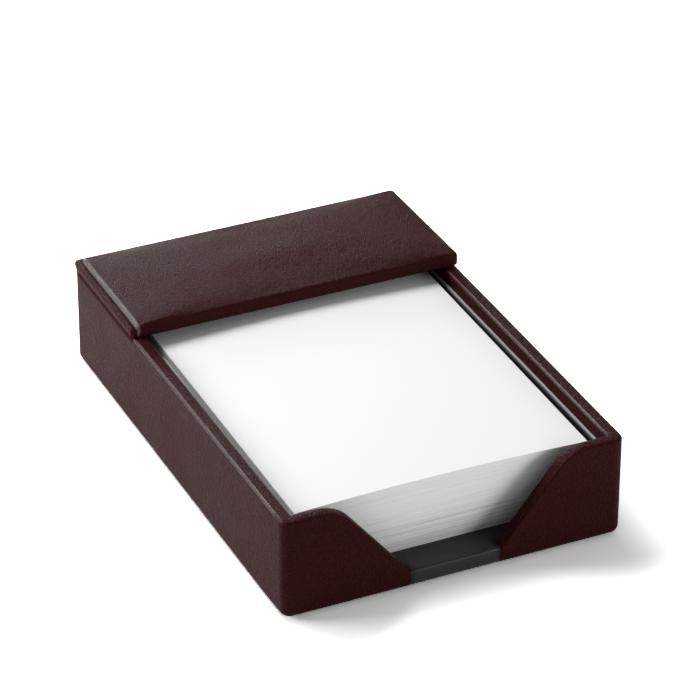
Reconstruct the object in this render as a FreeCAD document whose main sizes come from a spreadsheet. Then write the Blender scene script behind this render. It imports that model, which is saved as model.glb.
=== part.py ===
# Desk tray for loose memo sheets: leather over board, with a scooped front, a lined lip and a padded rear
# lid on a leather hinge. X runs along the front, Y to the back and Z up, in millimetres. The origin is on
# the table, under the middle of the tray.

import FreeCAD, Part
import os

import Sketcher

doc = FreeCAD.newDocument("memo_sheet_holder")
sizes = doc.addObject("Spreadsheet::Sheet", "Sizes")

driving_sizes = {
    # The sheets that the tray is made around, and the room that they have
    "sheet_width": 101.6,
    "sheet_depth": 152.4,
    "stack_height": 25.8,
    "stack_forward": 1.2,
    "side_gap": 3.1,
    "end_gap": 6.4,
    "rim_rise": 3.6,
    # Thickness of each layer
    "leather": 1.0,
    "lining": 0.8,
    "wall_board": 2.6,
    "base_board": 4.7,
    "felt": 0.8,
    # Underside
    "felt_inset": 5.0,
    "turn_under": 12.0,
    "card_gap": 0.2,
    # Rounded edges of the leather
    "corner_radius": 2.7,
    "bottom_radius": 2.0,
    "rim_radius": 0.8,
    "least_radius": 0.2,
    # Scoop in the front wall
    "lip_width": 32.0,
    "lip_radius": 0.8,
    "slope_angle": 50.8,
    "shoulder_radius": 14.0,
    "toe_radius": 1.5,
    # Charcoal lining of the walls
    "lining_drop": 5.0,
    "lining_edge": 0.4,
    # Rear lid: a padded panel on a lower panel
    "lid_depth": 54.6,
    "lid_overhang": 0.5,
    "lid_reveal": 0.7,
    "front_reveal": 0.2,
    "lid_corner": 1.5,
    "lid_board": 2.1,
    "panel_edge": 0.7,
    "lid_roll": 2.2,
    "pad_setback": 3.5,
    "pad_board": 0.8,
    "foam": 0.5,
    "pad_leather": 0.7,
    "crown": 0.5,
    "pad_edge": 1.3,
    "pad_crease": 0.4,
    "lid_lining": 0.6,
    "lid_lining_gap": 1.0,
    # Leather hinge strip
    "hinge_strip": 0.5,
    "hinge_margin": 9.3,
    "hinge_drop": 14.0,
    "hinge_lap": 10.0,
}
for row, (alias, value) in enumerate(driving_sizes.items(), start=1):
    sizes.set(f"A{row}", alias)
    sizes.set(f"B{row}", str(value))
    sizes.setAlias(f"B{row}", alias)
doc.recompute()

# Levels above the table
base_bottom = "(Sizes.felt + Sizes.leather)"
base_top = f"({base_bottom} + Sizes.base_board)"
floor_top = f"({base_top} + Sizes.lining)"
rim_top = f"({floor_top} + Sizes.stack_height + Sizes.rim_rise)"
board_top = f"({rim_top} - Sizes.leather)"
lining_top = f"({rim_top} - Sizes.lining_drop)"
panel_bottom = rim_top
panel_top = f"({panel_bottom} + Sizes.leather + Sizes.lid_board)"
foam_bottom = f"({panel_top} + Sizes.pad_board)"
foam_top = f"({foam_bottom} + Sizes.foam)"
pad_top = f"({foam_top} + Sizes.pad_leather)"

# Distances from the middle of the tray to the faces of its walls
wall = "(2 * Sizes.leather + Sizes.wall_board)"
lined_x = "(Sizes.sheet_width / 2 + Sizes.side_gap)"
lined_y = "(Sizes.sheet_depth / 2 + Sizes.end_gap)"
inner_x = f"({lined_x} + Sizes.lining)"
inner_y = f"({lined_y} + Sizes.lining)"
outer_x = f"({inner_x} + {wall})"
outer_y = f"({inner_y} + {wall})"
board_out_x = f"({outer_x} - Sizes.leather)"
board_out_y = f"({outer_y} - Sizes.leather)"
board_in_x = f"({inner_x} + Sizes.leather)"
board_in_y = f"({inner_y} + Sizes.leather)"
lip_x = "(Sizes.lip_width / 2)"

pieces = []


def number(expression):
    """The present value of an expression on the sheet."""
    value = sizes.evalExpression(expression)
    return getattr(value, "Value", value)


def new_body(label, is_piece=True):
    body = doc.addObject("PartDesign::Body", label)
    body.Label = label
    if is_piece:
        pieces.append(body)
    return body


def new_sketch(body, name, plane, offset):
    """A sketch on one of the body's own planes, moved along that plane's normal."""
    support = next(feature for feature in body.Origin.OriginFeatures if feature.Role == plane)
    sketch = body.newObject("Sketcher::SketchObject", name)
    sketch.AttachmentSupport = [(support, "")]
    sketch.MapMode = "FlatFace"
    sketch.setExpression("AttachmentOffset.Base.z", offset)
    return sketch


def pin_point(sketch, geometry, end, corner):
    """Ties one end of a sketch line to its two distances from the origin."""
    for kind, expression in zip(("DistanceX", "DistanceY"), corner):
        constraint = Sketcher.Constraint(kind, -1, 1, geometry, end, number(expression))
        sketch.setExpression(f"Constraints[{sketch.addConstraint(constraint)}]", expression)


def point(corner):
    return FreeCAD.Vector(number(corner[0]), number(corner[1]), 0)


def polygon(body, name, plane, offset, corners):
    """A closed outline whose corners are pairs of expressions."""
    sketch = new_sketch(body, name, plane, offset)
    count = len(corners)
    for index, corner in enumerate(corners):
        following = corners[(index + 1) % count]
        sketch.addGeometry(Part.LineSegment(point(corner), point(following)), False)
    for index, corner in enumerate(corners):
        sketch.addConstraint(Sketcher.Constraint("Coincident", index, 2, (index + 1) % count, 1))
        pin_point(sketch, index, 1, corner)
    return sketch


def rectangle(x0, x1, y0, y1):
    return [(x0, y0), (x1, y0), (x1, y1), (x0, y1)]


def pad(body, sketch, length, turned=False):
    feature = body.newObject("PartDesign::Pad", f"{sketch.Name}_pad")
    feature.Profile = sketch
    feature.setExpression("Length", length)
    feature.Reversed = turned
    doc.recompute()
    return feature


def pocket(body, sketch, depth, turned=False):
    """Cuts an outline out of the body, and stops if it cut nothing."""
    before = body.Shape.Volume
    feature = body.newObject("PartDesign::Pocket", f"{sketch.Name}_pocket")
    feature.Profile = sketch
    feature.setExpression("Length", depth)
    feature.Reversed = turned
    doc.recompute()
    if body.Shape.Volume >= before:
        raise RuntimeError(f"{feature.Name} cut nothing")
    return feature


def same(a, b, tolerance=1e-4):
    return abs(a - b) < tolerance


def is_along(edge, axis):
    """True for a straight edge along X (0), Y (1) or Z (2)."""
    start, end = edge.Vertexes[0].Point, edge.Vertexes[-1].Point
    return all(same(start[other], end[other]) for other in range(3) if other != axis)


def fillet(body, name, radius, rule):
    """Rounds the edges of a body whose middle point meets a rule."""
    shape_owner = body.Tip
    names = []
    for index, edge in enumerate(shape_owner.Shape.Edges, start=1):
        middle = edge.valueAt((edge.FirstParameter + edge.LastParameter) / 2)
        if rule(edge, middle):
            names.append(f"Edge{index}")
    feature = body.newObject("PartDesign::Fillet", name)
    feature.Base = (shape_owner, names)
    feature.setExpression("Radius", radius)
    doc.recompute()
    return feature


def inner_radius(radius, cover="Sizes.leather"):
    """Radius of a board's edge under leather that is rounded on its outside."""
    return f"max({radius} - {cover}; Sizes.least_radius)"


def block(label, x0, x1, y0, y1, z0, z1, is_piece=True):
    """A flat board, card or strip with square edges."""
    body = new_body(label, is_piece)
    outline = polygon(body, f"{label}_outline", "XY_Plane", z0, rectangle(x0, x1, y0, y1))
    pad(body, outline, f"{z1} - {z0}")
    return body


def upright(edge, middle):
    return is_along(edge, 2)


def front_upright(y):
    """A rule for the upright edges of the front that stands at one distance."""
    place = number(y)
    return lambda edge, middle: is_along(edge, 2) and same(middle.y, place)


def along_back(y, z):
    """A rule for the edges that run from side to side through one point of the lid's section."""
    place = number(y), number(z)
    return lambda edge, middle: (
        is_along(edge, 0) and same(middle.y, place[0]) and same(middle.z, place[1])
    )


def at_height(level):
    """A rule for the edges that lie at one level."""
    height = number(level)
    return lambda edge, middle: same(middle.z, height) and same(edge.BoundBox.ZLength, 0)


def shell(label, blank, fillings):
    """A covering of leather: a blank with what it covers taken out."""
    core = fillings[0]
    if len(fillings) > 1:
        core = doc.addObject("Part::MultiFuse", f"{label}_core")
        core.Shapes = fillings
    cover = doc.addObject("Part::Cut", label)
    cover.Label = label
    cover.Base = blank
    cover.Tool = core
    pieces.append(cover)
    return cover


# Felt and card under the base
felt_x = f"({outer_x} - Sizes.felt_inset)"
felt_y = f"({outer_y} - Sizes.felt_inset)"
felt = block("base_felt", f"-{felt_x}", felt_x, f"-{felt_y}", felt_y, "0", "Sizes.felt")
fillet(felt, "felt_corners", "Sizes.corner_radius", upright)

card_x = f"({outer_x} - Sizes.turn_under - Sizes.card_gap)"
card_y = f"({outer_y} - Sizes.turn_under - Sizes.card_gap)"
block("bottom_card", f"-{card_x}", card_x, f"-{card_y}", card_y, "Sizes.felt", base_bottom)

# Base board, with rounded corners and lower edge for the leather to follow
base = block(
    "base_board", f"-{board_out_x}", board_out_x, f"-{board_out_y}", board_out_y, base_bottom, base_top
)
fillet(base, "base_corners", inner_radius("Sizes.corner_radius"), upright)
fillet(base, "base_lower_edge", inner_radius("Sizes.bottom_radius"), at_height(base_bottom))
boards = [base]

# Side and back wall boards, standing on the base
for side, sign in (("left", "-1"), ("right", "1")):
    side_board = block(
        f"{side}_wall_board",
        f"{sign} * {board_in_x}",
        f"{sign} * {board_out_x}",
        f"-{board_out_y}",
        board_out_y,
        base_top,
        board_top,
    )
    outer_face = number(board_out_x)
    fillet(
        side_board,
        f"{side}_board_corners",
        inner_radius("Sizes.corner_radius"),
        lambda edge, middle: is_along(edge, 2) and same(abs(middle.x), outer_face),
    )
    boards.append(side_board)
boards.append(
    block("back_wall_board", f"-{board_in_x}", board_in_x, board_in_y, board_out_y, base_top, board_top)
)


def scoop_toe(inset):
    """Foot of the scoop's slope, set back by an inset from the leather's own edge."""
    set_down = f"{inset} * (1 - sin(Sizes.slope_angle * 1deg)) / cos(Sizes.slope_angle * 1deg)"
    return f"({lip_x} + {inset})", f"({floor_top} - {set_down})"


def scoop_at(inset, level):
    """Distance from the middle to the scoop's slope at a level."""
    toe_x, toe_z = scoop_toe(inset)
    return f"({toe_x} + ({level} - {toe_z}) / tan(Sizes.slope_angle * 1deg))"


def across(x, z):
    """A rule for the edges that run from front to back through one point of the front wall."""
    place = number(x), number(z)
    return lambda edge, middle: (
        is_along(edge, 1) and same(abs(middle.x), place[0]) and same(middle.z, place[1])
    )


def shoulder(radius, crest, face):
    """Radius of the curve at the top of the scoop, as large as the wall beside it allows."""
    room = f"({face} - {crest} - Sizes.rim_radius - Sizes.least_radius)"
    return f"min({radius}; {room} / tan(Sizes.slope_angle * 1deg / 2))"


scoop_toe_x, scoop_toe_z = scoop_toe("0")
scoop_crest_x = scoop_at("0", rim_top)
scoop_shoulder = shoulder("Sizes.shoulder_radius", scoop_crest_x, inner_x)

# Front wing boards, cut to the scoop less the leather that goes over it
toe_x, toe_z = scoop_toe("Sizes.leather")
crest_x = scoop_at("Sizes.leather", board_top)
for side, sign in (("left", "-1"), ("right", "1")):
    wing = new_body(f"front_{side}_board")
    corners = [
        (toe_x, base_top),
        (toe_x, toe_z),
        (crest_x, board_top),
        (board_in_x, board_top),
        (board_in_x, base_top),
    ]
    outline = polygon(
        wing, f"front_{side}_outline", "XZ_Plane", board_out_y, [(f"{sign} * {x}", z) for x, z in corners]
    )
    pad(wing, outline, "Sizes.wall_board", turned=True)
    fillet(wing, f"front_{side}_shoulder", inner_radius(scoop_shoulder), across(crest_x, board_top))
    fillet(wing, f"front_{side}_toe", inner_radius("Sizes.toe_radius"), across(toe_x, toe_z))
    boards.append(wing)

# Leather strip of the hinge: one half is let into the back of the tray, the other goes up the rolled back of
# the lid's lower panel and in under the pad
hinge_x = f"({outer_x} - Sizes.hinge_margin)"
hinge_y = f"({outer_y} - Sizes.hinge_strip)"
tray_leaf = block(
    "hinge_tray_leaf", f"-{hinge_x}", hinge_x, hinge_y, outer_y, f"({rim_top} - Sizes.hinge_drop)", rim_top
)
lid_leaf = new_body("hinge_lid_leaf")
leaf_top = f"({panel_top} + Sizes.hinge_strip)"
leaf_front = f"({outer_y} - Sizes.hinge_lap)"
leaf_outline = polygon(
    lid_leaf,
    "hinge_lid_outline",
    "YZ_Plane",
    f"-{hinge_x}",
    [
        (hinge_y, panel_bottom),
        (outer_y, panel_bottom),
        (outer_y, leaf_top),
        (leaf_front, leaf_top),
        (leaf_front, panel_top),
        (hinge_y, panel_top),
    ],
)
pad(lid_leaf, leaf_outline, f"2 * {hinge_x}")
lid_roll = f"min(Sizes.lid_roll; {panel_top} - {panel_bottom} - Sizes.panel_edge - Sizes.least_radius)"
fillet(lid_leaf, "leaf_outer_roll", f"{lid_roll} + Sizes.hinge_strip", along_back(outer_y, leaf_top))
fillet(lid_leaf, "leaf_inner_roll", lid_roll, along_back(hinge_y, panel_top))

# Leather wrap: round the outside, over the rim, down the inside and under the base, open at the lip
wrap = new_body("wrap_blank", is_piece=False)
wrap_outline = polygon(
    wrap, "wrap_outline", "XY_Plane", "Sizes.felt", rectangle(f"-{outer_x}", outer_x, f"-{outer_y}", outer_y)
)
pad(wrap, wrap_outline, f"{rim_top} - Sizes.felt")
fillet(wrap, "wrap_corners", "Sizes.corner_radius", upright)
fillet(wrap, "wrap_lower_edge", "Sizes.bottom_radius", at_height("Sizes.felt"))
room = polygon(
    wrap, "sheet_room", "XY_Plane", rim_top, rectangle(f"-{inner_x}", inner_x, f"-{inner_y}", inner_y)
)
pocket(wrap, room, f"{rim_top} - {base_top}")
scoop_corners = [(scoop_crest_x, rim_top), (scoop_toe_x, scoop_toe_z), (scoop_toe_x, "0")]
scoop = polygon(
    wrap,
    "scoop",
    "XZ_Plane",
    outer_y,
    scoop_corners + [(f"-{x}", z) for x, z in reversed(scoop_corners)],
)
pocket(wrap, scoop, wall)
fold_x = f"({outer_x} - Sizes.turn_under)"
fold_y = f"({outer_y} - Sizes.turn_under)"
underside = polygon(
    wrap,
    "underside",
    "XY_Plane",
    "Sizes.felt",
    [
        (f"-{fold_x}", f"-{fold_y}"),
        (f"-{lip_x}", f"-{fold_y}"),
        (f"-{lip_x}", f"-{outer_y}"),
        (lip_x, f"-{outer_y}"),
        (lip_x, f"-{fold_y}"),
        (fold_x, f"-{fold_y}"),
        (fold_x, fold_y),
        (f"-{fold_x}", fold_y),
    ],
)
pocket(wrap, underside, "Sizes.leather", turned=True)
fillet(wrap, "scoop_shoulders", scoop_shoulder, across(scoop_crest_x, rim_top))
fillet(wrap, "scoop_toes", "Sizes.toe_radius", across(scoop_toe_x, scoop_toe_z))


def on_rim(half_x, half_y):
    """A rule for the upper edges of the walls on one side of the leather, the scoop's edges among them."""
    edge_x, edge_y, top = number(half_x), number(half_y), number(rim_top)
    shoulder_foot = number(floor_top) + number("Sizes.toe_radius")

    def rule(edge, middle):
        on_face = same(abs(middle.x), edge_x) or same(abs(middle.y), edge_y)
        on_top = same(edge.BoundBox.ZMin, top) and on_face
        on_slope = same(middle.y, -edge_y) and not is_along(edge, 0) and shoulder_foot < middle.z < top
        return on_top or (on_slope and not is_along(edge, 2))

    return rule


on_outer_rim = on_rim(outer_x, outer_y)
on_inner_rim = on_rim(inner_x, inner_y)
fillet(
    wrap,
    "rim_edges",
    "Sizes.rim_radius",
    lambda edge, middle: on_outer_rim(edge, middle) or on_inner_rim(edge, middle),
)
shell("leather_wrap", wrap, boards + [tray_leaf])

# Floor lining, brought forward between the wings, over the lip and under the base
lip_y = f"({board_out_y} + Sizes.lining)"
floor = new_body("floor_lining")
floor_outline = polygon(
    floor,
    "floor_outline",
    "XY_Plane",
    base_top,
    [
        (f"-{inner_x}", f"-{inner_y}"),
        (f"-{lip_x}", f"-{inner_y}"),
        (f"-{lip_x}", f"-{lip_y}"),
        (lip_x, f"-{lip_y}"),
        (lip_x, f"-{inner_y}"),
        (inner_x, f"-{inner_y}"),
        (inner_x, inner_y),
        (f"-{inner_x}", inner_y),
    ],
)
pad(floor, floor_outline, "Sizes.lining")
lip_outline = polygon(
    floor,
    "lip_outline",
    "YZ_Plane",
    f"-{lip_x}",
    [
        (f"-{lip_y}", "Sizes.felt"),
        (f"-{fold_y}", "Sizes.felt"),
        (f"-{fold_y}", base_bottom),
        (f"-{board_out_y}", base_bottom),
        (f"-{board_out_y}", base_top),
        (f"-{lip_y}", base_top),
    ],
)
pad(floor, lip_outline, "Sizes.lip_width")
lip_front = -number(lip_y)
lip_levels = number(floor_top), number("Sizes.felt")
fillet(
    floor,
    "lip_edges",
    "min(Sizes.lip_radius; Sizes.lining - Sizes.least_radius)",
    lambda edge, middle: is_along(edge, 0)
    and same(middle.y, lip_front)
    and any(same(middle.z, level) for level in lip_levels),
)

# Wall linings, standing on the floor lining
for side, sign in (("left", "-1"), ("right", "1")):
    side_lining = block(
        f"{side}_lining",
        f"{sign} * {lined_x}",
        f"{sign} * {inner_x}",
        f"-{inner_y}",
        inner_y,
        floor_top,
        lining_top,
    )
    lining_face = number(lined_x)
    fillet(
        side_lining,
        f"{side}_lining_top",
        "Sizes.lining_edge",
        lambda edge, middle: is_along(edge, 1)
        and same(abs(middle.x), lining_face)
        and same(middle.z, number(lining_top)),
    )
back_lining = block("back_lining", f"-{lined_x}", lined_x, lined_y, inner_y, floor_top, lining_top)
fillet(
    back_lining,
    "back_lining_top",
    "Sizes.lining_edge",
    lambda edge, middle: is_along(edge, 0)
    and same(middle.y, number(lined_y))
    and same(middle.z, number(lining_top)),
)
lining_foot_x = scoop_at("Sizes.lining_drop", floor_top)
lining_crest_x = scoop_at("Sizes.lining_drop", lining_top)
lining_shoulder = shoulder("(Sizes.shoulder_radius - Sizes.lining_drop)", lining_crest_x, lined_x)
for side, sign in (("left", "-1"), ("right", "1")):
    wing_lining = new_body(f"front_{side}_lining")
    corners = [
        (lining_foot_x, floor_top),
        (lining_crest_x, lining_top),
        (lined_x, lining_top),
        (lined_x, floor_top),
    ]
    outline = polygon(
        wing_lining,
        f"front_{side}_lining_outline",
        "XZ_Plane",
        inner_y,
        [(f"{sign} * {x}", z) for x, z in corners],
    )
    pad(wing_lining, outline, "Sizes.lining", turned=True)
    fillet(
        wing_lining,
        f"front_{side}_lining_shoulder",
        f"max({lining_shoulder}; Sizes.least_radius)",
        across(lining_crest_x, lining_top),
    )

# Lower panel of the lid: a board in leather that rests on the rim, with a roll of leather behind the pad
lid_x = f"({outer_x} + Sizes.lid_overhang)"
lid_front = f"({outer_y} - Sizes.lid_depth)"
pad_back = f"({outer_y} - Sizes.pad_setback)"
panel_x = f"({lid_x} - Sizes.lid_reveal)"
panel_front = f"({lid_front} + Sizes.front_reveal)"
panel = block(
    "panel_blank", f"-{panel_x}", panel_x, panel_front, outer_y, panel_bottom, panel_top, is_piece=False
)
fillet(panel, "panel_corners", "Sizes.lid_corner", front_upright(panel_front))
fillet(panel, "panel_roll", lid_roll, along_back(outer_y, panel_top))
panel_side = number(panel_x)
panel_levels = number(panel_bottom), number(panel_top)
roll_start = number(f"{outer_y} - {lid_roll}")


def on_panel_edge(edge, middle):
    """A rule for the panel's upper and lower edges and the ends of its roll."""
    on_level = any(same(middle.z, level) for level in panel_levels)
    at_roll_end = same(abs(middle.x), panel_side) and middle.y > roll_start
    starts_roll = is_along(edge, 0) and same(middle.y, roll_start)
    return (on_level or at_roll_end) and not starts_roll


panel_edge = f"min(Sizes.panel_edge; ({panel_top} - {panel_bottom}) / 2 - Sizes.least_radius)"
fillet(panel, "panel_edges", panel_edge, on_panel_edge)
panel_board_x = f"({panel_x} - Sizes.leather)"
panel_board_front = f"({panel_front} + Sizes.leather)"
panel_board = block(
    "lid_lower_board",
    f"-{panel_board_x}",
    panel_board_x,
    panel_board_front,
    pad_back,
    f"({panel_bottom} + Sizes.leather)",
    panel_top,
)
fillet(panel_board, "panel_board_corners", inner_radius("Sizes.lid_corner"), front_upright(panel_board_front))
shell("lid_lower_leather", panel, [panel_board, lid_leaf])


def crowned(label, half_x, y0, y1, z0, z1, is_piece):
    """A flat-bottomed cushion with an arched top, as long as the lid."""
    body = new_body(label, is_piece)
    sketch = new_sketch(body, f"{label}_section", "YZ_Plane", f"-{half_x}")
    front_low, back_low, back_high, front_high = rectangle(y0, y1, z0, z1)
    top = (f"({y0} + {y1}) / 2", f"{z1} + Sizes.crown")
    sketch.addGeometry(Part.LineSegment(point(front_low), point(back_low)), False)
    sketch.addGeometry(Part.LineSegment(point(back_low), point(back_high)), False)
    sketch.addGeometry(Part.Arc(point(back_high), point(top), point(front_high)), False)
    sketch.addGeometry(Part.LineSegment(point(front_high), point(front_low)), False)
    for index in range(4):
        sketch.addConstraint(Sketcher.Constraint("Coincident", index, 2, (index + 1) % 4, 1))
    for index, corner in ((0, front_low), (1, back_low), (3, front_high)):
        pin_point(sketch, index, 1, corner)
    pin_point(sketch, 1, 2, back_high)
    radius = f"({y1} - {y0})^2 / (8 * Sizes.crown) + Sizes.crown / 2"
    constraint = Sketcher.Constraint("Radius", 2, number(radius))
    sketch.setExpression(f"Constraints[{sketch.addConstraint(constraint)}]", radius)
    pad(body, sketch, f"2 * {half_x}")
    return body


# Padded panel of the lid, set forward of the roll: board, crowned foam and the leather drawn over both
pad_height = f"({pad_top} - {panel_top})"
pad_blank = crowned("pad_blank", lid_x, lid_front, pad_back, panel_top, pad_top, is_piece=False)
fillet(pad_blank, "pad_corners", "Sizes.lid_corner", upright)
pad_low = number(panel_top)
fillet(
    pad_blank,
    "pad_top_edge",
    f"min(Sizes.pad_edge; {pad_height} - Sizes.pad_crease - Sizes.least_radius)",
    lambda edge, middle: middle.z > pad_low + number(pad_height) / 2 and edge.BoundBox.ZLength < 1,
)
fillet(pad_blank, "pad_crease_edge", "Sizes.pad_crease", at_height(panel_top))

stuffing_x = f"({lid_x} - Sizes.pad_leather)"
stuffing_front = f"({lid_front} + Sizes.pad_leather)"
stuffing_back = f"({pad_back} - Sizes.pad_leather)"
stuffing_corner = inner_radius("Sizes.lid_corner", "Sizes.pad_leather")
foam = crowned("lid_foam", stuffing_x, stuffing_front, stuffing_back, foam_bottom, foam_top, is_piece=True)
fillet(foam, "foam_corners", stuffing_corner, upright)
stiffener = block(
    "stiffener_blank",
    f"-{stuffing_x}",
    stuffing_x,
    stuffing_front,
    stuffing_back,
    panel_top,
    foam_bottom,
    is_piece=False,
)
fillet(stiffener, "stiffener_corners", stuffing_corner, upright)
pad_board = shell("lid_pad_board", stiffener, [lid_leaf])
shell("lid_pad_leather", pad_blank, [foam, pad_board, lid_leaf])

# Charcoal lining under the lid, clear of the tray's walls
lining_x = f"({inner_x} - Sizes.lid_lining_gap)"
block(
    "lid_lining",
    f"-{lining_x}",
    lining_x,
    f"({panel_front} + Sizes.lid_lining_gap + Sizes.panel_edge)",
    f"({inner_y} - Sizes.lid_lining_gap)",
    f"({panel_bottom} - Sizes.lid_lining)",
    panel_bottom,
)

# Stack of loose sheets on the floor lining, a little forward of the middle
block(
    "memo_sheets",
    "-Sizes.sheet_width / 2",
    "Sizes.sheet_width / 2",
    "(-Sizes.sheet_depth / 2 - Sizes.stack_forward)",
    "(Sizes.sheet_depth / 2 - Sizes.stack_forward)",
    floor_top,
    f"({floor_top} + Sizes.stack_height)",
)

doc.recompute()
for item in doc.Objects:
    if "Invalid" in item.State or "Error" in item.State:
        raise RuntimeError(f"{item.Label} failed: {item.State}")
for piece in pieces:
    if piece.Shape.isNull() or not piece.Shape.isValid() or len(piece.Shape.Solids) != 1:
        raise RuntimeError(f"{piece.Label} is not one sound solid")

os.makedirs("parts", exist_ok=True)
for piece in pieces:
    piece.Shape.exportStep(f"parts/{piece.Label}.step")
    print(f"{piece.Label}: {piece.Shape.Volume:.1f} mm3")
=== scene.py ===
# Desk tray for loose memo sheets: brown leather over board, a charcoal lining and a padded rear lid.
# Every length is in metres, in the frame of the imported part: X along the front, Y to the back, Z up.
import math

import bmesh
import bpy
from mathutils import Matrix, Vector, noise


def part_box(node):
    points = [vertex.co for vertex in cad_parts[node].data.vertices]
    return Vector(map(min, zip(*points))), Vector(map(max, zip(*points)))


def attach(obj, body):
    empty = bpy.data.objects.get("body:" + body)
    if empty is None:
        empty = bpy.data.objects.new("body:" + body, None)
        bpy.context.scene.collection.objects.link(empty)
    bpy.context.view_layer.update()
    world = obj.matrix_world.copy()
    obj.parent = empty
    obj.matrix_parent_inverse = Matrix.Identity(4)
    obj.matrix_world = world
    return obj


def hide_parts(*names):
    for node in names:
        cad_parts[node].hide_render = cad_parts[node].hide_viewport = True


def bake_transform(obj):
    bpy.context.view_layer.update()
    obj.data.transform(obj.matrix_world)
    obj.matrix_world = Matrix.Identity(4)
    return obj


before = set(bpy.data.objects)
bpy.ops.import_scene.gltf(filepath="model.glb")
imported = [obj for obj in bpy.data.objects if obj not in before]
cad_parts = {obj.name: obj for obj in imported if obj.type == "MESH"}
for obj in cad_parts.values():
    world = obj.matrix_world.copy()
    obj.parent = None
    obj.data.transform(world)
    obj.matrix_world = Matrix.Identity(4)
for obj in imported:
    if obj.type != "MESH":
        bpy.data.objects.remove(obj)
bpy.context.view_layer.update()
scene = bpy.context.scene
scene.view_settings.view_transform = "Standard"
MM = 0.001

# Camera: a long lens that looks down from the front left, as the photograph was taken.
# Its place is worked out from the direction that it looks in and the shift that frames the tray.
VIEW_TURN = math.radians(-24.8835)
VIEW_RISE = math.radians(31.0138)
VIEW_ROLL = math.radians(0.1461)
VIEW_DISTANCE = 1.2482778
VIEW_SHIFT_RIGHT = 0.0035562
VIEW_SHIFT_UP = 0.0302709
LENS_LENGTH = 192.4
SENSOR_WIDTH = 36
NEAREST_SEEN = 0.05
FELT_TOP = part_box("base_felt")[1].z

towards_eye = Vector(
    (
        math.sin(VIEW_TURN) * math.cos(VIEW_RISE),
        -math.cos(VIEW_TURN) * math.cos(VIEW_RISE),
        math.sin(VIEW_RISE),
    )
)
level_right = Vector((math.cos(VIEW_TURN), math.sin(VIEW_TURN), 0))
level_up = towards_eye.cross(level_right)
view_right = math.cos(VIEW_ROLL) * level_right + math.sin(VIEW_ROLL) * level_up
view_up = math.cos(VIEW_ROLL) * level_up - math.sin(VIEW_ROLL) * level_right
eye = towards_eye * VIEW_DISTANCE + view_right * VIEW_SHIFT_RIGHT + view_up * VIEW_SHIFT_UP
eye.z += FELT_TOP
camera = bpy.data.objects.new("camera", bpy.data.cameras.new("camera"))
camera.data.lens = LENS_LENGTH
camera.data.sensor_width = SENSOR_WIDTH
camera.data.clip_start = NEAREST_SEEN
scene.collection.objects.link(camera)
facing = Matrix((view_right, view_up, towards_eye)).transposed().to_4x4()
camera.matrix_world = Matrix.Translation(eye) @ facing
scene.camera = camera

# Base felt: a thin sheet of dark wool felt with rounded corners, die cut and glued under the base.
# Its fibres show as small flecks and a soft nap, and its cut edges are slightly rounded.
FELT_CORNER = 2.7 * MM
FELT_EDGE = 0.25 * MM
SLAB_PITCH = 4 * MM
FIBRE_PATCHES_PER_METRE = 60.0
FIBRE_PATCH_SHARE = 0.3
FIBRE_CONTRAST = (0.32, 0.68)
FIBRE_BUMP = 0.5
MERGE_DISTANCE = 1e-6
LEAST_EDGE = 1e-7


def add_node(tree, kind, inputs=None, **settings):
    """A node with its settings, and its inputs by name or number: a value, or the socket that feeds it."""
    node = tree.nodes.new(kind)
    for name, value in settings.items():
        setattr(node, name, value)
    for key, value in (inputs or {}).items():
        if isinstance(value, bpy.types.NodeSocket):
            tree.links.new(value, node.inputs[key])
        else:
            node.inputs[key].default_value = value
    return node


def add_math(tree, operation, *values, clamp=False):
    """The result of a step of arithmetic on values and sockets."""
    step = add_node(tree, "ShaderNodeMath", dict(enumerate(values)), operation=operation, use_clamp=clamp)
    return step.outputs[0]


def add_vector_math(tree, operation, first, second):
    """The result of a step of arithmetic on two vectors, or on a vector and what it is scaled by."""
    key = "Scale" if operation == "SCALE" else 1
    return add_node(tree, "ShaderNodeVectorMath", {0: first, key: second}, operation=operation).outputs[0]


def add_noise(tree, place, scale, detail, roughness=0.5):
    """A noise whose first output is a value and whose second is a colour."""
    inputs = {"Vector": place, "Scale": scale, "Detail": detail, "Roughness": roughness}
    return add_node(tree, "ShaderNodeTexNoise", inputs)


def new_group(name, inputs, outputs, kind="ShaderNodeTree"):
    """A node group with named sockets: inputs are (name, kind, default), outputs (name, kind)."""
    group = bpy.data.node_groups.new(name, kind)
    for socket_name, socket_kind, default in inputs:
        socket = group.interface.new_socket(socket_name, in_out="INPUT", socket_type=socket_kind)
        if default is not None:
            socket.default_value = default
    for socket_name, socket_kind in outputs:
        group.interface.new_socket(socket_name, in_out="OUTPUT", socket_type=socket_kind)
    return group, group.nodes.new("NodeGroupInput"), group.nodes.new("NodeGroupOutput")


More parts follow.
